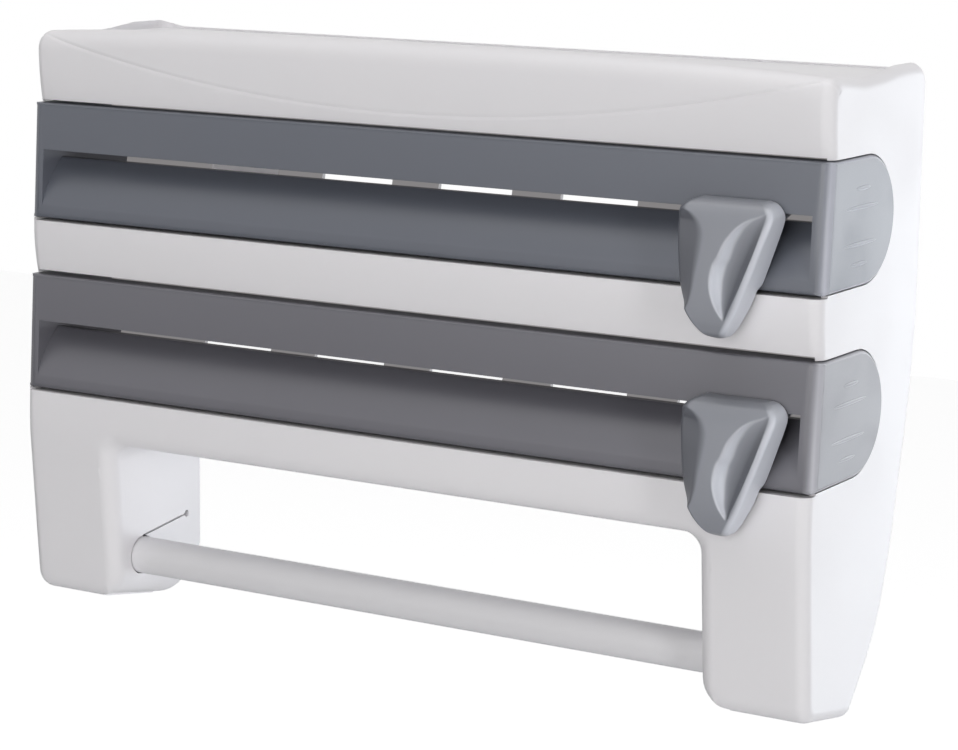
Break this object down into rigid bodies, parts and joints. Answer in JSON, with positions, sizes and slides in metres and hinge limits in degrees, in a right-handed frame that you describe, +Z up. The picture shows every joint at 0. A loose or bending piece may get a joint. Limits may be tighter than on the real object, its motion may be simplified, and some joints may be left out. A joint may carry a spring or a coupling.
{
  "type": "kitchen film and foil dispenser",
  "caption": "Wall-mounted moulded dispenser for cling film and foil with two pull-out roll drawers, sliding fin-shaped cutters, a turning towel bar between two legs and a shelf on top.",
  "frame": {"origin": "on the wall plane, midway between the two keyholes, on the line where the wall screws sit", "axes": "+X to the right seen from the front, +Y into the wall, +Z up; the front faces -Y"},
  "size_m": [0.3908, 0.1185, 0.2641],
  "materials": {
    "white_plastic": "satin white",
    "grey_plastic": "satin dark grey",
    "dark_plastic": "matte black",
    "steel": "plain steel"
  },
  "bodies": {
    "housing": {"housing": "white_plastic", "back_frame": "white_plastic", "frame_screw_1": "steel", "frame_screw_2": "steel", "frame_screw_3": "steel", "frame_screw_4": "steel", "frame_screw_5": "steel", "frame_screw_6": "steel"},
    "upper_drawer": {"upper_tray": "grey_plastic", "upper_rail": "grey_plastic"},
    "upper_cutter": {"upper_cutter_knob": "grey_plastic", "upper_cutter_shoe": "dark_plastic", "upper_cutter_screw": "steel", "upper_cutter_blade": "steel"},
    "lower_drawer": {"lower_tray": "grey_plastic", "lower_rail": "grey_plastic"},
    "lower_cutter": {"lower_cutter_knob": "grey_plastic", "lower_cutter_shoe": "dark_plastic", "lower_cutter_screw": "steel", "lower_cutter_blade": "steel"},
    "towel_bar": {"bar_tube": "white_plastic", "bar_plug_left": "white_plastic", "bar_plug_right": "white_plastic"}
  },
  "joints": [
    {"name": "upper_drawer_slide", "type": "slide", "parent": "housing", "child": "upper_drawer", "axis": [0, -1, 0], "range_m": [0, 0.065]},
    {"name": "upper_cutter_slide", "type": "slide", "parent": "upper_drawer", "child": "upper_cutter", "axis": [1, 0, 0], "range_m": [-0.325, 0.0135]},
    {"name": "lower_drawer_slide", "type": "slide", "parent": "housing", "child": "lower_drawer", "axis": [0, -1, 0], "range_m": [0, 0.065]},
    {"name": "lower_cutter_slide", "type": "slide", "parent": "lower_drawer", "child": "lower_cutter", "axis": [1, 0, 0], "range_m": [-0.331, 0.0075]},
    {"name": "towel_bar_spin", "type": "hinge", "parent": "housing", "child": "towel_bar", "pos_m": [0, -0.0795, -0.218], "axis": [1, 0, 0], "continuous": true}
  ]
}
